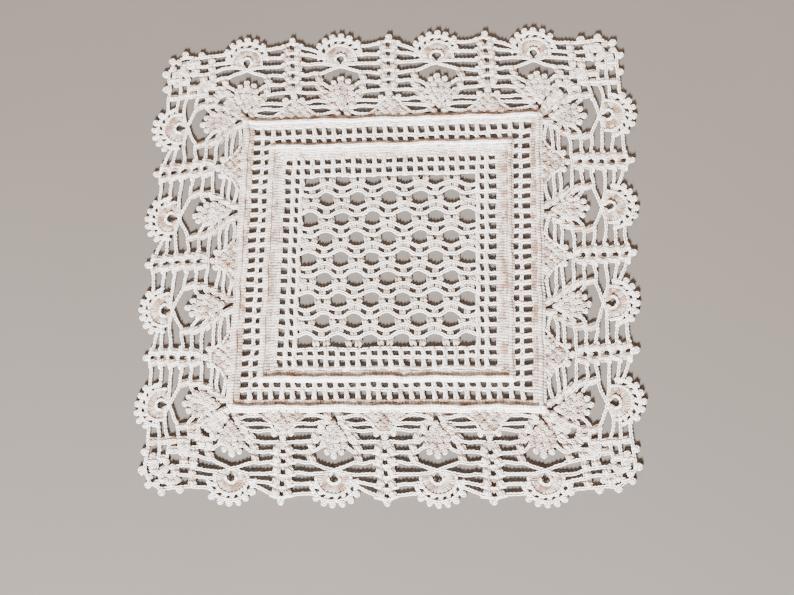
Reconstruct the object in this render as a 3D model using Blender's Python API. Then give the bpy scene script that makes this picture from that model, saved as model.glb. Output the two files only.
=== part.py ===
"""Square crochet lace doily of white cotton, lying flat: one solid of about 309 by 305 mm.

The doily is drawn square and even first, in millimetres, with its centre at (0, 0). One quarter
turn of its edging is drawn as (along, out) and turned to all four sides. The plan is then laid as
the real one lies, by a smooth warp through the places of its motifs, ladders and corners.
"""

import math

import bpy
import numpy as np
from mathutils.geometry import delaunay_2d_cdt

MM = 0.001

# Driving sizes of the even plan, mm
CELL = 6.5  # one mesh of the filet: a double crochet and two chains
NET_ROW = 13.05  # two rows of filet to one row of openings
NET_ROWS = 9
NET_WIDE = 6  # openings in the odd rows; the even rows hold one fewer, set half a pitch over
PANEL_RIB = 74.2  # from the centre to the crest of the rib round the net
OUTER_RIB = 92.0  # from the centre to the crest of the rib that the edging grows from
BOX_MIDDLE = (-1.38, 0.91)  # the middle of the laid doily's box, which becomes the origin
RIB_HALF = 2.5
MOTIF_PITCH = 61.0
MOTIFS_A_SIDE = 4
FAN_OUT = 134.3  # from the centre to the small hole in a fan
STEM_OUT = 98.0
LADDER_FOOT_OUT = 118.0
LADDER_TIP_OUT = 150.3
PICOT_TIP = 18.0  # from the fan's hole
PICOT_ROOT = 16.0
PICOT_SLOPE = 0.6  # how much lower a picot's left side is than its tip

# Places along a side where the net and the outer rib keep to the even plan, mm
NET_PINS_OUT = 70.0
NET_PINS = (-70.0, -35.0, 0.0, 35.0)
RIB_PINS = (-61.0, 0.0, 61.0)

# A rib's ring: its points along a side, as shares of its distance out, and the cut of its corners
RING_SHARES = (-0.72, -0.36, 0.0, 0.36, 0.72)
PANEL_RIB_CUT = 1.2
OUTER_RIB_CUT = 1.5

# Heights of the upper face over the table, mm
NET_HIGH = 1.6
CHAIN_HIGH = 1.7
LOW = 1.5
BLOCK_HIGH = 2.5
FLOWER_HIGH = 2.8
FAN_HIGH = 2.4
RIB_HIGH = 3.0

# How far each section of the edging lies from its even place, mm, seen with that side on top.
# Columns: station along the side, shift at its root, shift at its tip, stretch outwards.
LAY_OF_SIDES = {
    "top": (
        (-91.5, -2.0, -3.5, 0.0),
        (-61.0, -2.5, -5.0, 1.2),
        (-30.5, -0.8, -3.0, 0.7),
        (0.0, -1.7, -2.5, 0.7),
        (30.5, 0.0, -1.8, 0.7),
        (61.0, 0.5, -1.4, 0.7),
        (91.5, 2.5, -1.2, 0.0),
    ),
    "left": (
        (-91.5, 1.0, 1.2, 1.0),
        (-61.0, -0.3, -0.3, -1.0),
        (-30.5, 2.2, -0.8, 3.7),
        (0.0, 0.3, -2.0, 2.4),
        (30.5, 1.5, -2.0, 3.7),
        (61.0, 0.8, -2.5, 2.0),
        (91.5, 2.5, -1.8, 2.7),
    ),
    "bottom": (
        (-91.5, -0.2, -2.5, -0.8),
        (-61.0, -1.8, -3.8, -1.6),
        (-30.5, -0.3, -1.7, -0.6),
        (0.0, -1.0, -3.0, -0.5),
        (30.5, -0.5, -2.0, -0.3),
        (61.0, -1.5, -1.8, -1.0),
        (91.5, 0.8, -1.8, -1.0),
    ),
    "right": (
        (-91.5, 0.0, 1.2, 1.0),
        (-61.0, 0.7, 0.7, 0.0),
        (-30.5, 1.0, 0.2, 0.7),
        (0.0, 0.0, -0.7, -0.5),
        (30.5, 1.2, -0.8, 0.0),
        (61.0, -0.3, -2.2, -1.5),
        (91.5, 1.5, -2.2, 0.0),
    ),
}
SIDES = tuple(LAY_OF_SIDES)

# How far each corner lies from its even place, mm, in the doily's own X and Y.
# Columns: place on the diagonal, then X and Y at the corners top right, top left, bottom left,
# bottom right.
LAY_OF_CORNERS = (
    (108.7, (0.6, -0.4), (-1.6, 0.6), (0.7, 1.7), (0.5, 0.4)),
    (125.3, (0.7, -0.6), (-4.0, -1.8), (0.3, 2.3), (2.7, 2.3)),
    (136.0, (0.5, 0.0), (-5.3, -2.0), (-0.5, 1.3), (3.0, 4.7)),
)

# Gaps of the net round the middle of an opening: (across, up)
OPENING = ((-2.6, 4.0), (2.6, 4.0), (5.2, 1.2), (4.9, -2.3), (0.0, -4.1), (-4.9, -2.3), (-5.2, 1.2))
TOP_ROW_OPENING = ((-5.0, 2.1), (5.0, 2.1), (4.9, -2.2), (0.0, -4.2), (-4.9, -2.2))
FOOT_ROW_OPENING = ((-2.6, 4.0), (2.6, 4.0), (5.2, 1.2), (5.0, -3.7), (-5.0, -3.7), (-5.2, 1.2))

# Gaps of the edging: (across from the motif's middle, out from the centre)
EVEN_GAPS = (
    ((9.0, 99.0), (10.2, 100.8), (21.3, 100.2), (17.3, 97.1), (12.5, 97.5)),
    ((15.2, 107.8), (17.3, 111.6), (28.4, 111.4), (26.3, 109.6), (23.6, 106.8)),
    ((17.0, 114.3), (17.0, 117.7), (24.2, 117.2), (24.8, 113.8)),
    ((16.8, 120.5), (16.6, 123.9), (24.6, 122.9), (25.0, 119.8)),
)
LEFT_GAPS = (
    ((-25.0, 126.0), (-24.0, 129.9), (-17.5, 130.5), (-9.8, 130.2), (-6.2, 128.8), (-11.0, 126.7)),
    ((-25.0, 133.3), (-24.0, 135.9), (-8.5, 134.4), (-10.5, 133.2)),
    ((-26.0, 140.3), (-24.5, 142.2), (-12.7, 137.4), (-17.5, 138.9)),
)
RIGHT_GAPS = (
    ((5.8, 129.0), (12.5, 129.9), (23.0, 129.7), (25.2, 125.9), (16.2, 126.6)),
    ((6.2, 134.6), (8.3, 132.4), (24.6, 132.9), (23.0, 135.6)),
    ((12.3, 139.2), (14.6, 141.2), (21.8, 142.4), (23.2, 139.2)),
)
HALF_TEARDROP = (
    (10.2, 124.2),
    (10.9, 120.3),
    (8.0, 117.4),
    (6.3, 119.3),
    (4.0, 119.2),
    (2.7, 118.4),
    (1.7, 121.3),
)
TEARDROP_PEAK = (0.0, 128.0)
FAN_HOLE = ((0.0, 131.5), (2.5, 134.1), (1.8, 136.0), (-1.8, 136.0), (-2.5, 134.1))

# Gaps of a corner, as (X, Y) of the top right one; each but the last has its twin over the diagonal
CORNER_GAPS = (
    ((96.5, 128.0), (103.0, 130.0), (111.5, 128.8), (111.5, 124.6), (104.0, 125.6)),
    ((98.0, 133.2), (112.2, 131.2), (113.0, 133.7), (104.0, 134.5)),
    ((103.3, 137.2), (105.5, 139.6), (112.5, 139.8), (113.0, 136.7)),
    ((117.9, 135.9), (123.3, 135.9), (123.3, 140.2), (117.9, 140.2)),
    ((117.6, 130.5), (121.5, 130.5), (121.5, 133.2), (117.6, 133.2)),
)
DIAGONAL_GAP = (
    (122.2, 122.2),
    (126.3, 122.9),
    (128.6, 125.6),
    (128.2, 128.2),
    (125.6, 128.6),
    (122.9, 126.3),
)

# Outer edge: the picots of a fan in degrees from straight out, then half a ladder's tip and half a
# corner
PICOT_DEGREES = (-55.0, -36.0, -17.0, 3.0, 22.0, 43.0)
PICOT_HALF_DEGREES = 6.0
FAN_LEFT_ROOT = (-16.0, 142.4)
FAN_RIGHT_ROOT = (13.9, 143.9)
HALF_LADDER_TIP = ((-6.2, 145.3), (-4.2, 147.2), (-2.2, 150.0))
HALF_CORNER_EDGE = (
    (108.0, 143.0),
    (116.8, 142.8),
    (118.6, 145.0),
    (120.8, 145.7),
    (123.0, 144.6),
    (125.0, 142.9),
    (129.0, 144.2),
    (131.3, 146.2),
    (133.6, 145.2),
    (134.8, 141.5),
    (137.8, 141.6),
    (141.0, 142.3),
)

# Crests and hollows between the gaps: (across, out, height)
HALF_MOTIF_RELIEF = (
    (2.6, 97.5, BLOCK_HIGH),
    (7.0, 102.8, BLOCK_HIGH),
    (11.3, 107.5, BLOCK_HIGH),
    (13.7, 112.5, BLOCK_HIGH),
    (14.0, 118.5, BLOCK_HIGH),
    (13.6, 123.8, BLOCK_HIGH),
    (6.2, 108.2, LOW),
    (9.3, 114.3, LOW),
)
MIDDLE_MOTIF_RELIEF = ((0.0, 104.2, LOW), (0.0, 109.5, FLOWER_HIGH), (0.0, 115.0, FLOWER_HIGH))
FAN_CREST_RADIUS = 6.0
FAN_CREST_DEGREES = (-80.0, -48.0, -16.0, 16.0, 48.0, 80.0)
FAN_HOLLOW_RADIUS = 11.6
HALF_LADDER_RELIEF = (
    (3.7, 114.8, BLOCK_HIGH),
    (3.7, 121.3, BLOCK_HIGH),
    (3.7, 127.9, BLOCK_HIGH),
    (3.7, 134.5, BLOCK_HIGH),
    (3.7, 141.3, BLOCK_HIGH),
    (7.6, 98.5, BLOCK_HIGH),
)
MIDDLE_LADDER_RELIEF = (
    (0.0, 104.0, BLOCK_HIGH),
    (0.0, 109.3, BLOCK_HIGH),
    (0.0, 118.0, LOW),
    (0.0, 131.2, LOW),
    (0.0, 144.5, LOW),
)
HALF_CORNER_RELIEF = (
    (114.8, 119.5, BLOCK_HIGH),
    (115.0, 126.5, BLOCK_HIGH),
    (115.0, 138.0, BLOCK_HIGH),
    (121.0, 127.5, BLOCK_HIGH),
    (125.6, 132.5, BLOCK_HIGH),
    (126.0, 138.2, BLOCK_HIGH),
)
MIDDLE_CORNER_RELIEF = ((105.0, BLOCK_HIGH), (118.0, BLOCK_HIGH), (132.0, BLOCK_HIGH))

COTTON_COLOUR = (0.86, 0.82, 0.75, 1.0)
MERGE = 1e-6


def turned(points, quarter_turns):
    """The points turned about the doily's centre by whole quarter turns, the left side next."""
    out = np.array(points, float)
    for _ in range(quarter_turns):
        out[:, 0], out[:, 1] = -out[:, 1].copy(), out[:, 0].copy()
    return out


def mirrored(points):
    """The other half of a motif, across its middle line."""
    return [(-p[0], *p[1:]) for p in points]


def over_diagonal(points):
    """The twin of a corner's points, across the diagonal."""
    return [(p[1], p[0], *p[2:]) for p in points]


def spread(distance, log_floor=1e-12):
    """Thin plate kernel: the squared distance times its logarithm."""
    return distance**2 * np.log(distance + log_floor)


def lay_pins():
    """Even places and the shifts they take, as two arrays of (x, y)."""
    places, shifts = [], []
    for turn, side in enumerate(SIDES):
        for station, at_root, at_tip, outwards in LAY_OF_SIDES[side]:
            on_ladder = station % MOTIF_PITCH == 0
            root = LADDER_FOOT_OUT if on_ladder else STEM_OUT
            tip = LADDER_TIP_OUT if on_ladder else FAN_OUT
            places += list(turned([(station, root), (station, tip)], turn))
            shifts += list(turned([(at_root, 0.0), (at_tip, outwards)], turn))
        still = [(along, NET_PINS_OUT) for along in NET_PINS]
        still += [(along, OUTER_RIB) for along in RIB_PINS]
        places += list(turned(still, turn))
        shifts += [(0.0, 0.0)] * len(still)
    for diagonal, *corners in LAY_OF_CORNERS:
        for turn, shift in enumerate(corners):
            places += list(turned([(diagonal, diagonal)], turn))
            shifts.append(shift)
    return np.array(places), np.array(shifts)


def laid(points):
    """Even (x, y) moved to where the doily lies: a thin plate spline through the pinned places."""
    points = np.asarray(points, float)
    places, shifts = lay_pins()
    count = len(places)
    gaps = np.linalg.norm(places[:, None] - places[None], axis=2)
    plane = np.column_stack([np.ones(count), places])
    system = np.block([[spread(gaps), plane], [plane.T, np.zeros((3, 3))]])
    weights = np.linalg.solve(system, np.vstack([shifts, np.zeros((3, 2))]))
    reach = np.linalg.norm(points[:, None] - places[None], axis=2)
    here = np.column_stack([np.ones(len(points)), points])
    return points + spread(reach) @ weights[:count] + here @ weights[count:]


class Plan:
    """The even drawing: closed loops that are cut or end the cloth, and crests on its face."""

    def __init__(self):
        self.points = []
        self.heights = []
        self.edges = []
        self.rim = 0
        self.rim_edges = 0

    def loop(self, points, height):
        first = len(self.points)
        self.points += [(float(x), float(y)) for x, y in points]
        self.heights += [height] * len(points)
        last = len(self.points) - 1
        self.edges += [(i, i + 1) for i in range(first, last)]
        self.edges.append((last, first))

    def crest(self, points):
        """Points (x, y, height) inside the cloth, with no line between them."""
        self.points += [(float(x), float(y)) for x, y, _ in points]
        self.heights += [height for _, _, height in points]

    def end_of_rim(self):
        """All that is drawn so far is the rim and the gaps; what follows is relief."""
        self.rim = len(self.points)
        self.rim_edges = len(self.edges)


def net_gaps():
    """The openings of the net, in nine rows, six and five in turn."""
    for row in range(NET_ROWS):
        up = (NET_ROWS - 1) / 2 - row
        wide = row % 2 == 0
        count = NET_WIDE if wide else NET_WIDE - 1
        shape = OPENING
        if row == 0:
            shape = TOP_ROW_OPENING
        elif row == NET_ROWS - 1:
            shape = FOOT_ROW_OPENING
        for k in range(count):
            across = (k - (count - 1) / 2) * 3 * CELL
            yield [(across + x, up * NET_ROW + y) for x, y in shape]


def stations(count):
    """Even places along a side, one motif pitch apart."""
    return [(k - (count - 1) / 2) * MOTIF_PITCH for k in range(count)]


def moved(points, along):
    return [(p[0] + along, *p[1:]) for p in points]


def side_gaps():
    """The gaps of one side's edging, as (along, out)."""
    last = MOTIFS_A_SIDE - 1
    teardrop = [TEARDROP_PEAK, *HALF_TEARDROP, *reversed(mirrored(HALF_TEARDROP))]
    for k, along in enumerate(stations(MOTIFS_A_SIDE)):
        yield moved(teardrop, along)
        yield moved(FAN_HOLE, along)
        if k < last:
            for gap in (*EVEN_GAPS, *RIGHT_GAPS):
                yield moved(gap, along)
        if k > 0:
            for gap in (*map(mirrored, EVEN_GAPS), *LEFT_GAPS):
                yield moved(gap, along)


def corner_gaps():
    for gap in CORNER_GAPS:
        yield gap
        yield over_diagonal(gap)
    yield DIAGONAL_GAP


def polar(radius, degrees):
    """A point round a fan's hole, from straight out towards the right, as (across, out)."""
    angle = math.radians(degrees)
    return radius * math.sin(angle), FAN_OUT + radius * math.cos(angle)


def fan_edge():
    """The picots of one fan from left to right."""
    edge = []
    for k, degrees in enumerate(PICOT_DEGREES):
        if k:
            edge.append(polar(PICOT_ROOT, (PICOT_DEGREES[k - 1] + degrees) / 2))
        edge.append(polar(PICOT_TIP - PICOT_SLOPE, degrees - PICOT_HALF_DEGREES))
        edge.append(polar(PICOT_TIP, degrees + PICOT_HALF_DEGREES / 2))
    return edge


def side_edge():
    """The rim along one side, from left to right."""
    edge = []
    ladder_tip = [*HALF_LADDER_TIP, *reversed(mirrored(HALF_LADDER_TIP))]
    for k, along in enumerate(stations(MOTIFS_A_SIDE)):
        edge += moved([FAN_LEFT_ROOT, *fan_edge(), FAN_RIGHT_ROOT], along)
        if k < MOTIFS_A_SIDE - 1:
            edge += moved(ladder_tip, along + MOTIF_PITCH / 2)
    return edge


def rim():
    """The whole outer edge, clockwise from the top left fan."""
    corner = [*HALF_CORNER_EDGE, *reversed(over_diagonal(HALF_CORNER_EDGE[1:]))]
    points = []
    for turn in (0, 3, 2, 1):
        points += list(turned(side_edge() + corner, turn))
    return points


def ring(out, cut):
    """A square about the centre, its corners cut a little, counter-clockwise."""
    points = []
    for turn in range(4):
        run = [(-share * out, out) for share in RING_SHARES]
        bend = [(cut - out, out - cut)]
        points += list(turned(run + bend, turn))
    return points


def side_relief():
    """Crests and hollows of one side, as (along, out, height)."""
    for along in stations(MOTIFS_A_SIDE):
        yield moved([*HALF_MOTIF_RELIEF, *mirrored(HALF_MOTIF_RELIEF), *MIDDLE_MOTIF_RELIEF], along)
        fan = [(*polar(FAN_CREST_RADIUS, a), FAN_HIGH) for a in FAN_CREST_DEGREES]
        between = [(a + b) / 2 for a, b in zip(PICOT_DEGREES, PICOT_DEGREES[1:])]
        fan += [(*polar(FAN_HOLLOW_RADIUS, a), LOW) for a in between]
        yield moved(fan, along)
    for along in stations(MOTIFS_A_SIDE - 1):
        ladder = [*HALF_LADDER_RELIEF, *mirrored(HALF_LADDER_RELIEF), *MIDDLE_LADDER_RELIEF]
        yield moved(ladder, along)


def turned_relief(points, turn):
    flat = turned([(x, y) for x, y, _ in points], turn)
    return [(x, y, p[2]) for (x, y), p in zip(flat, points)]


def drawn_plan():
    plan = Plan()
    plan.loop(rim(), CHAIN_HIGH)
    for gap in net_gaps():
        plan.loop(gap, NET_HIGH)
    for turn in range(4):
        for gap in side_gaps():
            plan.loop(turned(gap, turn), CHAIN_HIGH)
        for gap in corner_gaps():
            plan.loop(turned(gap, turn), CHAIN_HIGH)
    plan.end_of_rim()
    for out, cut in ((PANEL_RIB, PANEL_RIB_CUT), (OUTER_RIB, OUTER_RIB_CUT)):
        plan.loop(ring(out - RIB_HALF, cut), LOW)
        plan.loop(ring(out, cut), RIB_HIGH)
        plan.loop(ring(out + RIB_HALF, cut), LOW)
    for turn in range(4):
        for points in side_relief():
            plan.crest(turned_relief(points, turn))
        half = list(HALF_CORNER_RELIEF)
        middle = [(d, d, height) for d, height in MIDDLE_CORNER_RELIEF]
        plan.crest(turned_relief(half + over_diagonal(half) + middle, turn))
    return plan


def inside(spots, points, edges):
    """Which spots lie in the cloth: a ray to the right crosses rim and gaps an odd number of times."""
    points = np.asarray(points)
    start, end = points[[a for a, _ in edges]], points[[b for _, b in edges]]
    low, high = np.minimum(start[:, 1], end[:, 1]), np.maximum(start[:, 1], end[:, 1])
    rise = np.where(end[:, 1] == start[:, 1], 1.0, end[:, 1] - start[:, 1])
    y = spots[:, 1:2]
    meets = (low <= y) & (y < high)
    at = start[:, 0] + (y - start[:, 1]) / rise * (end[:, 0] - start[:, 0])
    return (meets & (at > spots[:, 0:1])).sum(axis=1) % 2 == 1


def triangulated(points, edges, rim_edges):
    """Delaunay triangles of the cloth alone, counter-clockwise, as indices of the given points."""
    flat = [tuple(p) for p in points]
    _, _, triangles, from_points, _, _ = delaunay_2d_cdt(flat, edges, [], 0, MERGE)
    given = [origins[0] for origins in from_points]
    triangles = np.array([[given[i] for i in t] for t in triangles])
    corners = np.array(points)[triangles]
    triangles = triangles[inside(corners.mean(axis=1), points, rim_edges)]
    a, b, c = (np.array(points)[triangles[:, k]] for k in range(3))
    turn = (b[:, 0] - a[:, 0]) * (c[:, 1] - a[:, 1]) - (b[:, 1] - a[:, 1]) * (c[:, 0] - a[:, 0])
    return np.where((turn < 0)[:, None], triangles[:, ::-1], triangles)


def open_edges(triangles):
    """The edges that only one triangle has, each in that triangle's own direction."""
    pairs = {(int(t[k]), int(t[(k + 1) % 3])) for t in triangles for k in range(3)}
    return [(a, b) for a, b in pairs if (b, a) not in pairs]


def doily_mesh():
    """One closed mesh: the face with its relief, a flat underside, and walls round rim and gaps."""
    plan = drawn_plan()
    places = laid(plan.points) - BOX_MIDDLE
    rim_edges = plan.edges[: plan.rim_edges]
    face = triangulated(plan.points, plan.edges, rim_edges)
    under = triangulated(plan.points[: plan.rim], rim_edges, rim_edges)
    top = np.column_stack([places, plan.heights])
    bottom = np.column_stack([places[: plan.rim], np.zeros(plan.rim)])
    count = len(top)
    walls = [(a + count, b + count, b, a) for a, b in open_edges(face)]
    faces = [*map(tuple, face.tolist()), *map(tuple, (under[:, ::-1] + count).tolist()), *walls]
    mesh = bpy.data.meshes.new("doily")
    mesh.from_pydata((np.vstack([top, bottom]) * MM).tolist(), [], faces)
    mesh.validate()
    return mesh


def cotton():
    material = bpy.data.materials.new("Cotton")
    material.use_nodes = True
    shader = material.node_tree.nodes["Principled BSDF"]
    shader.inputs["Base Color"].default_value = COTTON_COLOUR
    shader.inputs["Roughness"].default_value = 0.85
    shader.inputs["Metallic"].default_value = 0.0
    return material


def main():
    for obj in list(bpy.data.objects):
        bpy.data.objects.remove(obj, do_unlink=True)
    mesh = doily_mesh()
    mesh.materials.append(cotton())
    doily = bpy.data.objects.new("doily", mesh)
    bpy.context.scene.collection.objects.link(doily)


main()
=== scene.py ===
import math

import bpy
import numpy as np
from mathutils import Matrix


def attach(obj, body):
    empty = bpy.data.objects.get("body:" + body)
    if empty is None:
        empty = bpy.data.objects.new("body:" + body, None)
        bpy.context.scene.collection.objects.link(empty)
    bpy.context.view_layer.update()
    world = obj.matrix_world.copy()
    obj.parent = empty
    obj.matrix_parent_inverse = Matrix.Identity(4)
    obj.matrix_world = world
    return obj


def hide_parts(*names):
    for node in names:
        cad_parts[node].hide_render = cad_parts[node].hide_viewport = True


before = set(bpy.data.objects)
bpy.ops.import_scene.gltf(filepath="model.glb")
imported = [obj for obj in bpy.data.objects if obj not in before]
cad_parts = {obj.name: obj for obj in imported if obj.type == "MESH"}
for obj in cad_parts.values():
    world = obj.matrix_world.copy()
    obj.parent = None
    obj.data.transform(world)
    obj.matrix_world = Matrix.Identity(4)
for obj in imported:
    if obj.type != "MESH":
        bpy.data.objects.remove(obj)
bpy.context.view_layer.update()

bl_info = {
    "name": "Crochet lace doily",
    "version": (1, 0, 0),
    "blender": (4, 5, 0),
    "location": "View3D > Sidebar > Lace",
    "description": "A square doily of white cotton, every stitch of it a loop of thread",
    "category": "Add Mesh",
}

MM = 0.001
DOILY = "doily"
PANEL_SEED, BAND_SEED, EDGING_SEED = 11, 21, 31  # of the random draws; a side adds 0 to 3

# The even plan, mm: its centre is (0, 0), and a side is drawn as (along, out) with it on top
CELL = 6.5  # one mesh of the filet
NET_ROW = 13.05  # one row of the net's openings
NET_ROWS = 9
NET_WIDE = 6  # openings in a wide row
PANEL_EDGE = 8.5 * CELL  # where the net ends
PANEL_OUT = 10.5 * CELL
SIDE_POST = 60.5  # the outermost posts of the filet
MOTIF_PITCH = 61.0
MOTIFS_A_SIDE = 4
FAN_OUT = 134.3  # a fan's eye
STEM_OUT = 98.0  # a motif's foot
LADDER_FOOT_OUT = 118.0
LADDER_TIP_OUT = 150.3
OUTER_RIB = 92.0  # the crest of the outer band
BOX_MIDDLE = (-1.38, 0.91)  # middle of the laid doily
# Places along a side that keep their even place
NET_PINS, NET_PINS_OUT = (-70.0, -35.0, 0.0, 35.0), 70.0
RIB_PINS = (-61.0, 0.0, 61.0)

# How far each section of the edging lies from its even place, mm, seen with that side on top:
# shift at its root, shift at its tip and stretch outwards, for each of the stations along it
STATIONS = (-91.5, -61.0, -30.5, 0.0, 30.5, 61.0, 91.5)
LAY_OF_SIDES = {
    "top": (
        (-2.0, -3.5, 0.0), (-2.5, -5.0, 1.2), (-0.8, -3.0, 0.7), (-1.7, -2.5, 0.7),
        (0.0, -1.8, 0.7), (0.5, -1.4, 0.7), (2.5, -1.2, 0.0),
    ),
    "left": (
        (1.0, 1.2, 1.0), (-0.3, -0.3, -1.0), (2.2, -0.8, 3.7), (0.3, -2.0, 2.4),
        (1.5, -2.0, 3.7), (0.8, -2.5, 2.0), (2.5, -1.8, 2.7),
    ),
    "bottom": (
        (-0.2, -2.5, -0.8), (-1.8, -3.8, -1.6), (-0.3, -1.7, -0.6), (-1.0, -3.0, -0.5),
        (-0.5, -2.0, -0.3), (-1.5, -1.8, -1.0), (0.8, -1.8, -1.0),
    ),
    "right": (
        (0.0, 1.2, 1.0), (0.7, 0.7, 0.0), (1.0, 0.2, 0.7), (0.0, -0.7, -0.5), (1.2, -0.8, 0.0),
        (-0.3, -2.2, -1.5), (1.5, -2.2, 0.0),
    ),
}
SIDES = tuple(LAY_OF_SIDES)

# How far each corner lies from its even place, mm in X and Y. Columns: place on the diagonal, then
# the corners top right, top left, bottom left and bottom right.
LAY_OF_CORNERS = (
    (108.7, (0.6, -0.4), (-1.6, 0.6), (0.7, 1.7), (0.5, 0.4)),
    (125.3, (0.7, -0.6), (-4.0, -1.8), (0.3, 2.3), (2.7, 2.3)),
    (136.0, (0.5, 0.0), (-5.3, -2.0), (-0.5, 1.3), (3.0, 4.7)),
)

# Unevenness of the handwork, mm. Columns: wavelength across, wavelength up, phase, size.
WAVES_ACROSS = ((23.0, 37.0, 0.4, 0.22), (-11.0, 17.0, 2.1, 0.16), (61.0, -29.0, 4.0, 0.20))
WAVES_UP = ((31.0, -19.0, 1.7, 0.22), (13.0, 9.5, 5.2, 0.16), (-47.0, 53.0, 3.1, 0.20))
WAVES_HIGH = ((29.0, 21.0, 0.9, 0.10), (-9.0, 14.0, 3.7, 0.08))
HIGH_MIDDLE = 0.12  # mean of the waves in height, mm
LOOSE_HAND, LOOSEST_HAND = 0.10, 0.25  # how far a stitch strays, and at most, mm
WIDTH_STRAY, WIDTH_MOST = 0.06, 0.15  # the same for its width, as a share
BEIGE_STRAY = 0.08  # and for its colour

# Sizes of a stitch, mm
THREAD = 0.93
CHAIN_LONG = 2.3
BAND_LONG = 1.75
LINE_LONG = CELL / 3  # a braid of the filet, three to a mesh
CHAIN_HALF = 0.76
NET_HALF = 0.80
RIB_HALF = 0.68
PICOT_HALF = 0.66
NET_POST_HALF = (0.5, 0.56)  # at the foot and at the head
SHELL_HALF = (0.42, 0.6)
BLOCK_HALF = 0.46
MESH_HALF = 0.7
MESH_LEAN = 0.4
MESH_LIFT = 0.2
PLUMP = 0.6  # swell of a block's middle post
PLUMP_FOOT, PLUMP_UP = 0.5, 0.6  # shares of that at its foot, and upwards
SCALLOP = 0.2
WRAP_REACH = 0.16  # half a wrap, as a share of its post
KNOB_RADIUS, KNOB_TURN = 1.25, 40.0  # and degrees from one knob to the next
SIDE_PICOT = 1.15
WALL_LEAN = 0.8
BAR_LIFT = 0.15
# How much painted shade, as tan, each kind of stitch carries, from 0 to 1
MESH_BEIGE = 0.25
NET_BEIGE = 0.4
POST_BEIGE = 0.52
SHELL_BEIGE = 0.7
# A block's outer posts carry more painted shade than its middle one
BLOCK_MIDDLE_SHADE, BLOCK_SIDE_SHADE = 0.7, 0.3  # a block's middle post, and what its outer ones add


# ----- Where the even plan lies


def turned(points, quarter_turns):
    """The points turned about the doily's centre by whole quarter turns, the left side next."""
    out = np.array(points, float)
    for _ in range(quarter_turns):
        out[:, 0], out[:, 1] = -out[:, 1].copy(), out[:, 0].copy()
    return out


def lay_pins():
    """Even places and the shifts they take, as two arrays of (x, y)."""
    places, shifts = [], []
    for turn, side in enumerate(SIDES):
        for station, (at_root, at_tip, outwards) in zip(STATIONS, LAY_OF_SIDES[side]):
            on_ladder = station % MOTIF_PITCH == 0
            root = LADDER_FOOT_OUT if on_ladder else STEM_OUT
            tip = LADDER_TIP_OUT if on_ladder else FAN_OUT
            places += list(turned([(station, root), (station, tip)], turn))
            shifts += list(turned([(at_root, 0.0), (at_tip, outwards)], turn))
        still = [(along, NET_PINS_OUT) for along in NET_PINS]
        still += [(along, OUTER_RIB) for along in RIB_PINS]
        places += list(turned(still, turn))
        shifts += [(0.0, 0.0)] * len(still)
    for diagonal, *corners in LAY_OF_CORNERS:
        for turn, shift in enumerate(corners):
            places += list(turned([(diagonal, diagonal)], turn))
            shifts.append(shift)
    return np.array(places), np.array(shifts)


def spline_terms(points, places, log_floor=1e-12):
    """The thin plate kernel, the squared distance times its logarithm, of each point to each place,
    and 1, x and y of each point."""
    reach = np.linalg.norm(points[:, None] - places[None], axis=2)
    kernel = reach**2 * np.log(reach + log_floor)
    return kernel, np.column_stack([np.ones(len(points)), points])


def lay_weights():
    """Weights of the thin plate spline that carries each pinned place by its shift."""
    places, shifts = lay_pins()
    kernel, plane = spline_terms(places, places)
    system = np.block([[kernel, plane], [plane.T, np.zeros((3, 3))]])
    return places, np.linalg.solve(system, np.vstack([shifts, np.zeros((3, 2))]))


LAY_PLACES, LAY_WEIGHTS = lay_weights()


def laid(points):
    """Even (x, y) moved to where the doily lies: a thin plate spline through the pinned places."""
    count = len(LAY_PLACES)
    kernel, plane = spline_terms(points, LAY_PLACES)
    moved = points + kernel @ LAY_WEIGHTS[:count] + plane @ LAY_WEIGHTS[count:]
    return moved - BOX_MIDDLE


def wave(points, rows):
    """A sum of sines over the plan, one for each row of a table of waves."""
    total = np.zeros(len(points))
    for across, up, phase, size in rows:
        turn = 2 * math.pi * (points[:, 0] / across + points[:, 1] / up)
        total += size * np.sin(turn + phase)
    return total


def uneven(points):
    """Laid (x, y) with the slow unevenness of handwork, the same for all that meets at a place."""
    return points + np.column_stack([wave(points, WAVES_ACROSS), wave(points, WAVES_UP)])


# ----- Lines of the plan


def flat_z(points):
    """Points as (x, y, z), with z = 0 where only (x, y) is given."""
    points = np.asarray(points, float)
    if points.shape[1] == 2:
        points = np.column_stack([points, np.zeros(len(points))])
    return points


def smooth_line(points, steps=12):
    """Between two points, a cubic whose slope at each is half the step between its neighbours."""
    p = flat_z(points)
    if len(p) < 3:
        return p
    p = np.vstack([2 * p[0] - p[1], p, 2 * p[-1] - p[-2]])
    t = (np.arange(steps) / steps)[None, :, None]
    a, b, c, d = (p[k : len(p) - 3 + k][:, None] for k in range(4))
    curve = 0.5 * (
        2 * b + (c - a) * t + (2 * a - 5 * b + 4 * c - d) * t**2 + (3 * b - a - 3 * c + d) * t**3
    )
    return np.vstack([curve.reshape(-1, 3), p[-2]])


def spaced(line, pitch):
    """Points at even lengths along a line, as near to the pitch as whole stitches allow."""
    run = np.concatenate([[0.0], np.cumsum(np.linalg.norm(np.diff(line, axis=0), axis=1))])
    count = max(1, round(run[-1] / pitch))
    at = np.linspace(0.0, run[-1], count + 1)
    return np.column_stack([np.interp(at, run, line[:, k]) for k in range(3)])


def polar(centre, radius, degrees, lift=0.0):
    """Points round (along, out), by degrees from straight out towards the right."""
    angle = np.radians(np.atleast_1d(np.asarray(degrees, float)))
    radius = np.broadcast_to(radius, angle.shape)
    across = centre[0] + radius * np.sin(angle)
    out = centre[1] + radius * np.cos(angle)
    return np.column_stack([across, out, np.full(len(angle), lift)])


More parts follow.
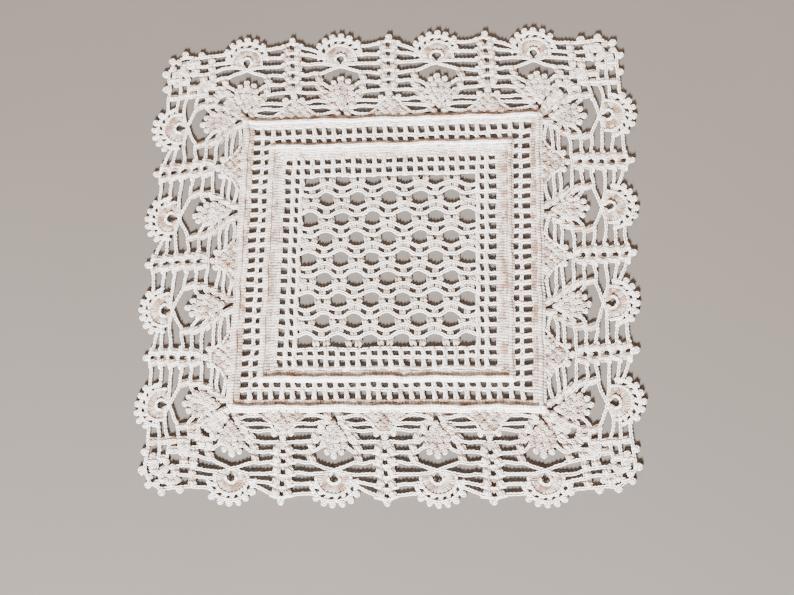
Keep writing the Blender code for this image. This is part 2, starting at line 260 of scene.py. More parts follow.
def over_middle(right, middle_out):
    """A line whose left half mirrors the right one, which is given from its end inwards."""
    left = [(-along, out) for along, out in right]
    return [*left, (0.0, middle_out), *right[::-1]]


def side_line(out, corner, lift=0.0, cut_share=0.3):
    """One side of a rounded square: from the diagonal on the left to the one on the right."""
    cut = out - cut_share * corner
    near = out - corner
    xs = np.array([-cut, -near, -near / 3, near / 3, near, cut])
    ys = np.array([cut, out, out, out, out, cut])
    return np.column_stack([xs, ys, np.full(6, lift)])


# ----- Stitches


class Stitches:
    """Stitches of the even plan. A row is foot (x, y, z), head (x, y, z), half width at the foot
    and at the head, all in mm, with z the height under the stitch, then how much painted shade it
    carries as tan, from 0 to 1. Moved, mirrored, turned and the like give a changed copy."""

    KINDS = ("chain", "net", "rib", "mesh", "post", "wrap")

    def __init__(self):
        self.rows = {kind: np.zeros((0, 9)) for kind in self.KINDS}

    def add(self, kind, feet, heads, at_foot, at_head, beige):
        """Adds a row for each foot and head; a single width or beige holds for all of them."""
        feet, heads = flat_z(feet), flat_z(heads)
        rest = np.broadcast_arrays(at_foot, at_head, beige, np.zeros(len(feet)))[:3]
        self.rows[kind] = np.vstack([self.rows[kind], np.column_stack([feet, heads, *rest])])

    def take(self, *others):
        """Adds the stitches of others after its own."""
        for other in others:
            for kind, rows in other.rows.items():
                self.rows[kind] = np.vstack([self.rows[kind], rows])
        return self

    def changed(self, change):
        """A copy whose feet and heads are moved by a function of their (x, y)."""
        copy = Stitches()
        for kind, rows in self.rows.items():
            rows = rows.copy()
            rows[:, 0:2] = change(rows[:, 0:2])
            rows[:, 3:5] = change(rows[:, 3:5])
            copy.rows[kind] = rows
        return copy

    def moved(self, along):
        return self.changed(lambda p: p + (along, 0.0))

    def mirrored(self):
        return self.changed(lambda p: p * (-1.0, 1.0))

    def over_diagonal(self):
        return self.changed(lambda p: p[:, ::-1])

    def turned(self, quarter_turns):
        return self.changed(lambda p: turned(p, quarter_turns))

    def scalloped(self):
        """A copy whose lines bow up between the posts of the filet, by a cosine of x."""
        copy = self.moved(0.0)
        for rows in copy.rows.values():
            for first in (0, 3):
                bow = np.cos(2 * math.pi * rows[:, first] / CELL)
                rows[:, first + 1] += SCALLOP * bow
                rows[:, first + 2] += SCALLOP * (1 + bow)
        return copy

    def chain(self, points, half=CHAIN_HALF, long=CHAIN_LONG, lift=0.0, kind="chain", beige=0.0):
        """Chain stitches, each from the head of the one before, along a smooth line."""
        knots = spaced(smooth_line(points), long) + (0.0, 0.0, lift)
        self.add(kind, knots[:-1], knots[1:], half, half, beige)

    def braid(self, points, lift=0.0, long=CHAIN_LONG):
        """A fuller chain, as the heads of a row of posts make it."""
        self.chain(points, NET_HALF, long, lift, "net")

    def posts(self, feet, heads, wraps, at_foot, at_head, lift=0.0, beige=POST_BEIGE, kind="post"):
        """Double crochets: two strands from foot to head, with the thread wrapped round them."""
        feet = flat_z(feet) + (0.0, 0.0, lift)
        heads = flat_z(heads) + (0.0, 0.0, lift)
        self.add(kind, feet, heads, at_foot, at_head, beige)
        for k in range(wraps):
            middle = (k + 1) / (wraps + 1)
            reach = WRAP_REACH / wraps
            low = feet + (heads - feet) * (middle - reach)
            high = feet + (heads - feet) * (middle + reach)
            share = at_foot + (at_head - at_foot) * middle
            self.add("wrap", low, high, share, share, beige)

    def block(self, foot, head, gap, count=3, gather=0.8, wraps=1, lift=0.0, lean=0.0,
              beige=POST_BEIGE):
        """A plump block of posts, from the middle of their feet to the middle of their heads."""
        foot, head = np.asarray(foot, float), np.asarray(head, float)
        way = (head - foot) / np.linalg.norm(head - foot)
        across = np.array([way[1], -way[0]])
        share = np.linspace(-1.0, 1.0, count)[:, None]
        places = share * (count - 1) / 2 * gap * across
        swell = PLUMP * (1 - share**2)
        feet = foot + gather * places - lean * across - swell * PLUMP_FOOT * way
        heads = head + places + lean * across + swell * way
        feet = np.hstack([feet, swell * PLUMP_UP])
        heads = np.hstack([heads, swell * PLUMP_UP])
        # painted shade, deeper on the block's outer posts than on its middle one
        tone = beige * (BLOCK_MIDDLE_SHADE + BLOCK_SIDE_SHADE * share[:, 0] ** 2)
        self.posts(feet, heads, wraps, BLOCK_HALF, BLOCK_HALF, lift, tone)

    def picot(self, centre, radius, first=0.0, lift=0.3, beige=0.15):
        """Four chain stitches closed into a knob."""
        turns = polar(centre, radius, first + np.arange(5) * 90.0, lift)
        self.add("chain", turns[:-1], turns[1:], PICOT_HALF, PICOT_HALF, beige)

    def knobs(self, centres, lift, beige):
        """Round knobs, each turned on a little from the one before."""
        for k, centre in enumerate(centres):
            self.picot(centre, KNOB_RADIUS, KNOB_TURN * k, lift, beige)

    def three_picots(self, tip, radius, right):
        """A picot at the tip and a smaller one on either side of it."""
        self.picot(tip, radius)
        self.picot((-right[0], right[1]), SIDE_PICOT)
        self.picot(right, SIDE_PICOT)


# ----- Net and filet


def row_up(row):
    """How far up a row of the net lies."""
    return ((NET_ROWS - 1) / 2 - row) * NET_ROW


def net_centres(row):
    """Middle places of the openings in a row of the net, six and five in turn."""
    count = NET_WIDE if row % 2 == 0 else NET_WIDE - 1
    return [(k - (count - 1) / 2) * 3 * CELL for k in range(count)]


def net_gap_centres(row):
    """Middle places of the groups that part the openings of a row."""
    centres = net_centres(row)
    between = [(a + b) / 2 for a, b in zip(centres, centres[1:])]
    if row % 2:
        between = [centres[0] - 1.5 * CELL, *between, centres[-1] + 1.5 * CELL]
    return between


# Pairs of posts in a row of the net, from the middle of a group or of an opening, mm: foot across
# and up, head across and up
GAP_POSTS = (
    (1.7, -2.5, 2.6, 2.1), (3.8, -2.6, 4.3, 2.0), (1.2, -6.9, 1.2, -3.3), (3.3, -6.9, 2.8, -3.4),
)
OPENING_POSTS = ((1.0, -10.2, 1.0, -6.4),)
SHORT_FOOT = -4.0  # a post with a lower foot is short and has no wrap
LAST_FOOT = -4.6  # feet under the last row
# Arches over groups and openings and the zigzag under them, mm across and up from their middles
OVER_GAP, UNDER_GAP = ((-3.2, 2.6), (3.2, 2.6)), ((-2.4, -2.9), (2.4, -2.9))
OVER_OPENING, UNDER_OPENING = ((-4.1, 4.5), (0.0, 5.9), (4.1, 4.5)), ((0.0, -5.9),)
LINE_ENDS = ((3.3, -5.0), (4.4, -4.6))  # arches and zigzag at the net's edge, by row in turn
ARCH_LIFT = 0.15


def net_row(row):
    """One row of openings: its arches, its pairs of posts and the zigzag chain under them."""
    made = Stitches()
    up = row_up(row)
    top, foot = row == 0, row == NET_ROWS - 1
    centres, gaps = net_centres(row), net_gap_centres(row)
    arch_end, zigzag_end = LINE_ENDS[row % 2]
    arches, zigzag = [(-PANEL_EDGE, up + arch_end)], [(-PANEL_EDGE, up + zigzag_end)]
    for at in sorted([*centres, *gaps]):
        over, under = (OVER_GAP, UNDER_GAP) if at in gaps else (OVER_OPENING, UNDER_OPENING)
        arches += [(at + x, up + y) for x, y in over]
        zigzag += [(at + x, up + y) for x, y in under]
    arches.append((PANEL_EDGE, up + arch_end))
    zigzag.append((PANEL_EDGE, up + zigzag_end))
    if not top:
        made.braid(arches, ARCH_LIFT)
    groups = [(gaps, GAP_POSTS)]
    if not foot:
        made.braid(zigzag)
        groups.append((centres, OPENING_POSTS))
    for middles, columns in groups:
        at = np.array(middles)[:, None]
        for x_foot, y_foot, x_head, y_head in columns:
            short = y_foot < SHORT_FOOT
            if foot and short:
                y_foot = LAST_FOOT
            for side in (-1.0, 1.0):
                feet = np.hstack([at + side * x_foot, np.full_like(at, up + y_foot)])
                heads = np.hstack([at + side * x_head, np.full_like(at, up + y_head)])
                made.posts(feet, heads, 0 if short else 1, *NET_POST_HALF, beige=NET_BEIGE)
    return made


# The filet's cross lines, mm up: the first and the last, and two in each row from its middle
FIRST_LINE, LAST_LINE = 61.2, -61.9
ROW_LINES = (2.8, -3.4)
RIM_GAP = 0.6  # from the outermost posts to the panel's edge
POST_LAPS = (0.4, 0.2)  # how far a post's foot and head lie below their lines


def filet_levels():
    """Heights of the filet's cross lines beside the net, from the top down."""
    levels = [FIRST_LINE]
    for row in range(NET_ROWS):
        levels += [row_up(row) + line for line in ROW_LINES]
    levels[-1] = row_up(NET_ROWS - 1) + LAST_FOOT
    return [*levels, LAST_LINE]


def filet_posts(at, low, high):
    """Upright posts of the filet, with waists so that the holes are round."""
    made = Stitches()
    feet = np.hstack([at + MESH_LEAN, np.full_like(at, low)])
    heads = np.hstack([at - MESH_LEAN, np.full_like(at, high)])
    made.posts(feet, heads, 0, MESH_HALF, MESH_HALF, MESH_LIFT, MESH_BEIGE, "mesh")
    return made


def panel():
    """The square net with two meshes of filet round it."""
    made = Stitches()
    for row in range(NET_ROWS):
        made.take(net_row(row))
    levels = filet_levels()
    lines = Stitches()
    full = ((-PANEL_OUT, 0.0, PANEL_OUT),)
    parted = ((-PANEL_OUT, -PANEL_EDGE), (PANEL_OUT, PANEL_EDGE))
    for k, level in enumerate(levels):
        for xs in full if k <= 1 or k >= len(levels) - 2 else parted:
            lines.braid([(x, level) for x in xs], 0.0, LINE_LONG)
    made.take(lines.scalloped())
    rims = [PANEL_OUT - RIM_GAP, *levels, RIM_GAP - PANEL_OUT]
    foot_lap, head_lap = POST_LAPS
    everywhere = (np.arange(-9.5, 10.0) * CELL)[:, None].clip(-SIDE_POST, SIDE_POST)
    beside_net = everywhere[np.abs(everywhere[:, 0]) > PANEL_EDGE - 1.0]
    for k, (high, low) in enumerate(zip(rims, rims[1:])):
        at = everywhere if k <= 1 or k >= len(rims) - 3 else beside_net
        made.take(filet_posts(at, low - foot_lap, high - head_lap))
    return made


# ----- Bands and filet rounds, one side with its halves of the corners

FLAT, INNER, CREST, OUTER = range(4)  # slopes of a band, across it
# Rounds of the ribbed bands. Columns: out from the centre, height under them, mm, slope.
BAND_ROUNDS = (
    (68.9, 0.15, FLAT), (70.8, 0.2, INNER), (72.5, 0.3, INNER), (74.6, 1.35, CREST),
    (75.9, 0.5, OUTER),
    (88.5, 0.15, INNER), (90.1, 0.15, INNER), (OUTER_RIB, 1.35, CREST), (94.0, 0.35, OUTER),
)
BAND_STARTS = {"top": 67.2, "left": 66.9, "bottom": 68.4, "right": 67.5}  # the very first round
# Painted shade, as tan, on each slope of the bands on each side of the doily: most where the slope
# faces away from the key light
SLOPE_SHADE = {
    "top": (0.4, 0.2, 0.05, 0.8),
    "left": (0.5, 0.65, 0.45, 0.5),
    "bottom": (0.25, 0.65, 0.0, 0.0),
    "right": (0.5, 0.75, 0.5, 0.5),
}
# Filet between the bands: the line in it, and the posts of each round, from, to, meshes a side
ROUND_OUT = 81.2
ROUND_POSTS = ((76.2, 80.9, 23), (81.3, 87.6, 25))
BAND_CORNER, ROUND_CORNER = 3.0, 1.5  # rounded corners


def band_side(side):
    """A side of both ribbed bands, with two rounds of filet between them."""
    made = Stitches()
    for out, lift, slope in ((BAND_STARTS[side], 0.1, FLAT), *BAND_ROUNDS):
        line = side_line(out, BAND_CORNER, lift)
        made.chain(line, RIB_HALF, BAND_LONG, kind="rib", beige=SLOPE_SHADE[side][slope])
    between = Stitches()
    between.braid(side_line(ROUND_OUT, ROUND_CORNER), 0.0, LINE_LONG)
    made.take(between.scalloped())
    for low, high, count in ROUND_POSTS:
        at = ((np.arange(count + 1) - count / 2) * CELL)[:, None]
        made.take(filet_posts(at, low, high))
    return made


# ----- Edging: one motif, one ladder and one corner, drawn as (along, out)

WALL_BLOCKS = (
    ((2.8, 94.6), (4.5, 100.2)), ((5.1, 100.9), (8.8, 105.6)), ((9.3, 106.2), (12.7, 111.3)),
    ((13.1, 112.2), (14.2, 118)), ((14.3, 118.8), (13.9, 124.4)),
)
EVEN_BARS = (
    ((4, 98.5), (8.5, 97.5), (12.5, 96.7), (16.5, 96.8)),
    ((2.9, 101.6), (5.2, 100.7), (8, 101.3), (12, 102.1), (16.5, 101.9), (23.4, 101.8)),
    ((6.8, 107), (9.1, 105.9), (11.6, 105.7), (15, 106.1), (20, 105.6), (25.5, 105.4)),
    ((10.7, 112.6), (12.9, 111.7), (15.5, 112.1), (19, 112.7), (23, 112.5), (28, 112.8),
     (30.5, 113.4)),
    ((12, 118.6), (14.3, 118.3), (18, 118.8), (24, 118.4), (28.9, 119.4)),
    ((11.6, 125.1), (14, 124.9), (17.5, 125.2), (22, 124.4), (25, 124.3), (28.9, 125.9)),
)
INNER_BARS = (
    ((12, 118.6), (9.2, 116.7), (6.6, 114.4), (5.2, 112.9)),
    ((10.7, 112.6), (8.6, 110.6), (6.4, 109.2), (5, 108.7)),
    ((6.8, 107), (5.4, 106.6), (4.2, 105.8)),
)
RIGHT_BARS = (
    ((-11.5, 125.3), (-5.5, 127.7), (0, 129.6), (5, 131), (10, 131.3), (17, 131.3),
     (24, 131.1), (28.9, 132.5)),
    ((6.5, 136.6), (11, 137.3), (17, 137.5), (24, 137.5), (28.9, 139.2)),
    ((10.5, 143.2), (16, 143.4), (22, 144), (26, 145), (30.5, 147)),
)
LEFT_BARS = (
    ((11.5, 125.3), (5.5, 127.7), (0, 129.6), (-5, 130.6), (-9.5, 131.6), (-17, 131.9),
     (-24, 131.6), (-28.9, 132.5)),
    ((-7, 135.6), (-12, 136), (-18, 137.2), (-25, 138.2), (-28.9, 139.2)),
    ((-11, 138), (-14.5, 139.8), (-20, 142.2), (-26, 144.2), (-30.5, 146.6)),
)
BLOCK_GAP = 1.5  # between the posts of a block in a wall or a ladder


def chains(lines, lift=BAR_LIFT):
    """A chain along each of the lines."""
    made = Stitches()
    for line in lines:
        made.chain(line, lift=lift)
    return made


def motif_half(lean):
    """The right half of a motif's stem and wall, with the chains that hold the flower to it."""
    made = chains(INNER_BARS, 0.0)
    for foot, head in WALL_BLOCKS:
        made.block(foot, head, BLOCK_GAP, lean=lean)
    return made


# Round knobs of the flower in a motif, (along, out)
FLOWER_KNOBS = (
    (0.1, 101.8), (-2, 104.6), (2.1, 104.8), (-4.1, 107.6), (0.1, 107.9), (4.2, 107.5),
    (-6.1, 111), (-2.1, 111.2), (2, 111.3), (6, 110.9), (-6.4, 114.6), (-2.5, 115.2),
    (2.4, 115.3), (6.3, 114.4), (0, 117.6),
)
FLOWER_ARCS = ((2.4, 103.4), (4.8, 106.6), (7, 109.8), (7.4, 113.4))  # half width, out
ARC_END, ARC_TOP = -0.6, 0.3  # an arc's ends and top, from that
# Shells. Columns: feet out, half their row, heads out, half their row, drop at its ends, posts.
FLOWER_SHELL = (100.4, 1.0, 118.2, 6.9, 2.4, 9)
MOUND_SHELLS = ((93.8, 8.0, 102.0, 12.8, 4.4, 15), (101.0, 2.8, 107.0, 5.0, 2.0, 6))


def shell(foot_out, foot_half, head_out, head_half, drop, count):
    """Posts from a short row of feet to a row of heads that bows by the square of its share."""
    made = Stitches()
    share = np.linspace(-1.0, 1.0, count)
    feet = np.column_stack([share * foot_half, np.full(count, foot_out)])
    heads = np.column_stack([share * head_half, head_out - drop * share**2])
    made.posts(feet, heads, 0, *SHELL_HALF, 0.1, beige=SHELL_BEIGE)
    return made


def flower():
    """A cluster of round knobs that widens upwards inside a motif, with three picots."""
    made = shell(*FLOWER_SHELL)
    for half, out in FLOWER_ARCS:
        # the arcs between the rows of knobs carry full painted shade
        made.chain(over_middle([(half, out + ARC_END)], out + ARC_TOP), 0.7, beige=1.0)
    made.knobs(FLOWER_KNOBS, 0.6, 0.45)
    made.three_picots((0.0, 120.6), 1.3, (4.4, 118.4))
    return made


# Rounds of a fan: mm from its eye, and degrees from straight out
EYE_RING, EYE_DEGREES = 3.5, (-98, -60, 0, 60, 98)
TREBLES, TREBLE_DEGREES = (4.2, 10.0), np.linspace(-98, 94, 17)
MIDDLE_RING, MIDDLE_DEGREES = 10.2, np.linspace(-102, 98, 9)
SLOT_POSTS, SLOT_DEGREES = (10.5, 13.4), np.array([-72.0, -47.0, -26.0, -3.0, 20.5, 44.0, 66.0])
OUTER_RING, OUTER_DEGREES = 14.0, np.linspace(-86, 80, 9)
PICOT_RING, PICOT_DEGREES = 15.9, (-55.0, -36.0, -17.0, 3.0, 22.0, 43.0)
# Posts that close a fan on the right below its eye, foot and head as (along, out)
CLOSING_POSTS = (
    ((1, 130.9), (3.9, 134.4)), ((1.6, 130.9), (5.3, 134.1)), ((2.2, 130.9), (6.7, 133.4)),
    ((2.8, 130.8), (7.8, 132.4)),
)


def fan():
    """The open fan at a motif's tip: a raised ring, posts, small slots and picots."""
    made = Stitches()
    eye = (0.0, FAN_OUT)
    made.chain(polar(eye, EYE_RING, EYE_DEGREES), 0.5, lift=0.8, beige=0.1)
    feet, heads = (polar(eye, radius, TREBLE_DEGREES) for radius in TREBLES)
    # the trebles in the fan's hollow carry painted shade
    made.posts(feet, heads, 0, 0.32, 0.66, 0.1, beige=0.75)
    made.chain(polar(eye, MIDDLE_RING, MIDDLE_DEGREES), 0.55, lift=0.4, beige=0.2)
    foot_ring, head_ring = SLOT_POSTS
    for shift in (-2.4, 2.4):
        degrees = SLOT_DEGREES + shift
        feet, heads = polar(eye, foot_ring, degrees - 5.0), polar(eye, head_ring, degrees + 4.0)
        made.posts(feet, heads, 0, 0.3, 0.36, beige=0.1)
    made.chain(polar(eye, OUTER_RING, OUTER_DEGREES), 0.66, lift=0.2, kind="net")
    for degrees in PICOT_DEGREES:
        made.picot(polar(eye, PICOT_RING, degrees)[0], KNOB_RADIUS, degrees)
    for side in (-1.0, 1.0):
        feet, heads = (np.array(CLOSING_POSTS) * (side, 1.0)).transpose(1, 0, 2)
        made.posts(feet, heads, 0, 0.36, 0.5, beige=0.5)
    return made


# Round knobs on the mound between two motifs, (along, out)
MOUND_KNOBS = (
    (-7.8, 96), (-2.7, 96.4), (2.6, 96.3), (7.9, 96.1), (-5.3, 98.9), (0.1, 99.2), (5.2, 98.8),
    (-2.5, 102.1), (2.6, 102.2), (0, 105),
)
# Rims of the mound. Columns: right half from its end, middle's place out, half width, beige.
MOUND_RIMS = (
    (((16.2, 95.2), (12.6, 97.3), (8.4, 100.2), (4.4, 102)), 102.3, 0.4, 0.5),
    (((7.6, 101.2), (5.8, 104.4), (3.6, 106.8)), 107.2, 0.5, 0.2),
)


def mound():
    """The solid mound between two motifs, with its knobs and its three picots."""
    made = Stitches()
    for row in MOUND_SHELLS:
        made.take(shell(*row))
    made.knobs(MOUND_KNOBS, 0.7, 0.6)
    for right, middle, half, beige in MOUND_RIMS:
        made.chain(over_middle(right, middle), half, lift=0.3, beige=beige)
    made.posts([(-1.6, 106.6), (1.6, 106.6)], [(-1.5, 109.0), (1.5, 109.0)], 0, 0.7, 0.7)
    made.three_picots((0.0, 110.2), 1.35, (5.2, 107.7))
    return made


LADDER_HEADS = (119.2, 125.7, 132.3, 138.9, 145.2)
LADDER_FOOT, LADDER_GAP = 113.7, 0.6  # first feet, and from heads to the next feet
RUNG_FOOT, RUNG_HEAD = 2.5, 4.3  # middles of a block's feet and heads, along
MIDDLE_POST = 3.0
RUNG_TOP = ((6.9, -0.1), (3.4, 0.6)), 1.1  # chain over a row, from its heads: right half, middle


def ladder():
    """Five rows of two blocks that spread from the row below, and a picot at the tip."""
    made = Stitches()
    feet = (LADDER_FOOT, *(head + LADDER_GAP for head in LADDER_HEADS[:-1]))
    right, middle = RUNG_TOP
    for foot, head in zip(feet, LADDER_HEADS):
        for side in (-1.0, 1.0):
            low, high = (side * RUNG_FOOT, foot), (side * RUNG_HEAD, head)
            made.block(low, high, BLOCK_GAP, gather=0.85, lift=0.2)
        made.posts([(0.0, foot)], [(0.0, foot + MIDDLE_POST)], 0, 0.5, 0.4)
        top = over_middle([(along, head + out) for along, out in right], head + middle)
        made.chain(top, 0.45, lift=0.3)
    made.posts([(-1.7, 146.0), (1.7, 146.0)], [(-0.9, 148.2), (0.9, 148.2)], 0, 0.8, 0.8)
    made.picot((0.0, 148.6), 1.4)
    return made


# Corner, as (X, Y) of the top right one; each has its twin over the diagonal
CORNER_BARS = (
    ((80, 125.3), (86, 127.7), (91.5, 129.6), (96.5, 131.2), (102, 132),
     (108, 131.2), (113, 130), (118, 129.2), (123, 129.4), (127, 129.8)),
    ((98, 135.6), (102, 136), (108, 135.6), (114, 135), (119, 134.2),
     (124, 134.6), (130, 134.6)),
    ((101.5, 143), (106, 141.4), (112, 141.4), (118, 141.2), (124, 141.2), (130, 141.9),
     (133.4, 141.2), (136, 139.4), (138.6, 138.6)),
    ((102.5, 125), (107, 124.6), (112, 123.4), (117, 122.6), (122, 122.2)),
    ((102.7, 118.7), (108, 118), (113, 117.6), (118, 118.4)),
    ((101.3, 112.2), (106, 112.4), (110, 111.4)),
)
CORNER_BLOCKS = (
    ((114.3, 136), (114.4, 140.6)), ((114.5, 130.8), (114.6, 134.8)),
    ((114.2, 124.4), (114.3, 129.6)), ((113.9, 118.6), (114, 122.9)),
    ((119.8, 123.4), (120, 128.6)), ((124.6, 130.4), (124.8, 134.2)),
    ((126.2, 135.2), (126.4, 140.4)), ((131.4, 135.2), (131.4, 138.4)),
    ((110.3, 112.6), (110.6, 117.2)),
)
# Fans of posts on the diagonal. Columns: place of the feet, place of the heads, posts, spread.
CORNER_SHELLS = (
    (95.4, 99.6, 4, 2), (100.6, 105.6, 5, 2), (110.2, 113.2, 3, 2), (116.8, 121.2, 5, 2),
    (128.8, 133.2, 4, 1.5),
)
CORNER_PICOTS = ((120.7, 143), (131.2, 143.6))
CORNER_TIP = (139.6, 139.6)
CORNER_KNOBS = (
    (104.2, 102), (106.4, 105.6), (112.4, 108.8), (121.6, 116.8), (129.6, 126.4),
    (123.2, 137.4), (129.4, 137.6), (134.4, 132.2), (134.6, 138.6),
)


def corner():
    """The top right corner: one half and its twin, then what lies on the diagonal."""
    half = chains(CORNER_BARS)
    for foot, head in CORNER_BLOCKS:
        half.block(foot, head, 1.6, beige=0.35)
    for centre in CORNER_PICOTS:
        half.picot(centre, 1.6)
    half.knobs(CORNER_KNOBS, 0.35, 0.35)
    made = Stitches().take(half, half.over_diagonal())
    for foot, head, count, gap in CORNER_SHELLS:
        made.block((foot, foot), (head, head), gap, count, gather=0.5, wraps=0, beige=0.4)
    made.picot(CORNER_TIP, 1.5)
    return made


def edging_side():
    """Four motifs, the mounds and ladders between them, and the corner to the right."""
    made = Stitches()
    walls = Stitches().take(motif_half(-WALL_LEAN), motif_half(WALL_LEAN).mirrored())
    motif = Stitches().take(walls, flower(), fan())
    bars, left, right = chains(EVEN_BARS), chains(LEFT_BARS), chains(RIGHT_BARS)
    between = Stitches().take(mound(), ladder())
    for k in range(MOTIFS_A_SIDE):
        along = (k - (MOTIFS_A_SIDE - 1) / 2) * MOTIF_PITCH
        made.take(motif.moved(along))
        if k < MOTIFS_A_SIDE - 1:
            made.take(bars.moved(along), right.moved(along))
            made.take(between.moved(along + MOTIF_PITCH / 2))
        if k > 0:
            made.take(bars.mirrored().moved(along), left.moved(along))
    return made.take(corner())


# ----- Thread

THREAD_SIDES = 4
# Rings of thread, by kind of stitch. Columns: points on it; where it starts and how long it is, as
# shares of its stitch; height of its ends and half of its rise between them, mm; power of its sine,
# squarer the lower it is; width at the foot, what the head adds and what both ends add; radius of
# the thread.
CHAIN_RING = (-0.26, 1.42, THREAD / 2, 0.38, 1.0, 0.75, 0.25, 0.0)
RINGS = {
    "chain": (8, *CHAIN_RING, THREAD * 0.52),
    "net": (8, *CHAIN_RING, THREAD * 0.61),
    "rib": (6, *CHAIN_RING, THREAD * 0.95),
    "mesh": (8, -0.02, 1.04, 0.70, 0.12, 0.6, 0.75, 0.0, 1.6, THREAD),
    "post": (8, -0.05, 1.10, 0.78, 0.12, 0.6, 1.0, 0.0, 0.0, THREAD * 0.58),
}
WRAP_POINTS, WRAP_RADIUS = 6, THREAD * 0.40
WRAP_WIDE, WRAP_MIDDLE, WRAP_HALF = 1.75, 1.02, 0.58  # share of its post's; heights, mm


def long_ring(count, start, length, ends_up, rise, power, foot_wide, head_wide, ends_wide):
    """Places along, across and up of a long ring. Its share of the way from foot to head is half
    of 1 less the turn's cosine; its width is a power of the turn's sine times a sum of the share
    and the square of twice the share less 1; it rises by 1 less the cosine of a turn a share."""
    turn = 2 * math.pi * np.arange(count) / count
    share = (1 - np.cos(turn)) / 2
    across = np.sign(np.sin(turn)) * np.abs(np.sin(turn)) ** power
    across = across * (foot_wide + head_wide * share + ends_wide * (2 * share - 1) ** 2)
    up = ends_up + rise * (1 - np.cos(2 * math.pi * share))
    return start + length * share, across, up


def wrap_ring(count):
    """Places along, across and up of a small ring round a post: the turn's cosine goes along and
    across, and its sine goes up."""
    turn = 2 * math.pi * np.arange(count) / count
    up = WRAP_MIDDLE + WRAP_HALF * np.sin(turn)
    return 0.5 + 0.5 * np.cos(turn), np.cos(turn) * WRAP_WIDE, up


def added(name, data):
    """A new object of the scene."""
    made = bpy.data.objects.new(name, data)
    bpy.context.scene.collection.objects.link(made)
    return made


def unit(vectors):
    """Each vector divided by its length."""
    return vectors / np.linalg.norm(vectors, axis=-1, keepdims=True)


def rings_of(kind, rows):
    """Each row's ring of thread, as (ring, point, xyz): foot + along * way + across + up. Also the
    plane that its thread's sides are turned from, and the thread's radius."""
    if kind == "wrap":
        (along, across, up), radius = wrap_ring(WRAP_POINTS), WRAP_RADIUS
    else:
        *shape, radius = RINGS[kind]
        along, across, up = long_ring(*shape)
    foot, way = rows[:, None, 0:3], (rows[:, 3:6] - rows[:, 0:3])[:, None]
    flat = unit(way * (1.0, 1.0, 0.0))
    sideways = np.stack([-flat[..., 1], flat[..., 0], 0 * flat[..., 0]], axis=-1)
    half = rows[:, 6:7] + (rows[:, 7:8] - rows[:, 6:7]) * np.clip(along, 0, 1)[None]
    lines = foot + way * along[None, :, None]
    lines = lines + sideways * (half * across[None])[..., None]
    lines[..., 2] += up[None]
    plane = np.zeros_like(way) + (0.0, 0.0, 1.0)
    if kind == "wrap":
        plane = unit(way - sideways * 2.0 * rows[:, None, 6:7])
    return lines, plane, radius


def tubes(lines, plane, radius):
    """Closed tubes: each point's circle lies across the thread, turned from the ring's plane."""
    way = unit(np.roll(lines, -1, axis=1) - np.roll(lines, 1, axis=1))
    first = unit(plane - way * (plane * way).sum(-1, keepdims=True))
    second = np.cross(way, first)
    turn = 2 * math.pi * (np.arange(THREAD_SIDES) + 0.5) / THREAD_SIDES
    out = first[:, :, None] * np.cos(turn)[:, None] + second[:, :, None] * np.sin(turn)[:, None]
    return lines[:, :, None] + radius * out


def tube_faces(rings, points, sides=THREAD_SIDES):
    """Quads between neighbouring circles, (ring, point, side, corner), facing outwards."""
    here = np.arange(rings * points * sides).reshape(rings, points, sides)
    after = np.roll(here, -1, axis=1)
    return np.stack([here, after, np.roll(after, -1, axis=2), np.roll(here, -1, axis=2)], axis=-1)


def thread_uv(lines, sides=THREAD_SIDES):
    """Along the thread in mm and round it from 0 to 1, for each corner of tube_faces."""
    step = np.linalg.norm(np.roll(lines, -1, axis=1) - lines, axis=2)
    run = np.concatenate([np.zeros((len(lines), 1)), np.cumsum(step, axis=1)], axis=1)
    start, end = run[:, :-1, None], run[:, 1:, None]
    low = (np.arange(sides) / sides)[None, None]
    high = low + 1 / sides
    corners = np.broadcast_arrays(start, end, end, start, low, low, high, high)
    return np.stack([np.stack(corners[:4], axis=-1), np.stack(corners[4:], axis=-1)], axis=-1)


def seen_from_above(vertices, faces, margin=0.01):
    """A plan of the faces for baking, long side across: those that face up in its upper half and
    the rest in its lower half. Also the faces' order, so that what hides the others comes last."""
    low, high = vertices.min(axis=0), vertices.max(axis=0)
    plan = ((vertices - low) / (high - low))[:, :2] * (1 - 2 * margin) + margin
    if high[1] - low[1] > high[0] - low[0]:
        plan = plan[:, ::-1]
    corners = vertices[faces]
    normal = np.cross(corners[:, 2] - corners[:, 0], corners[:, 3] - corners[:, 1])
    upward = normal[:, 2] > 0
    height = corners[..., 2].mean(axis=1)
    plan = plan[faces]
    plan[..., 1] = (plan[..., 1] + upward[:, None]) / 2
    return plan, np.argsort(np.where(upward, height, -height), kind="stable")


def in_hand(stitches, seed):
    """The stitches where the doily lies, each a little astray, with z still in mm."""
    stray = np.random.default_rng(seed)
    placed = stitches.changed(lambda p: uneven(laid(p)))
    for rows in placed.rows.values():
        for first in (0, 3):
            places = rows[:, first : first + 2]
            rows[:, first + 2] += np.maximum(0.0, wave(places, WAVES_HIGH) + HIGH_MIDDLE)
            step = stray.normal(0.0, LOOSE_HAND, places.shape)
            places += step.clip(-LOOSEST_HAND, LOOSEST_HAND)
        width = stray.normal(0.0, WIDTH_STRAY, (len(rows), 1))
        rows[:, 6:8] *= 1 + width.clip(-WIDTH_MOST, WIDTH_MOST)
        rows[:, 8] += stray.normal(0.0, BEIGE_STRAY, len(rows))
    return placed


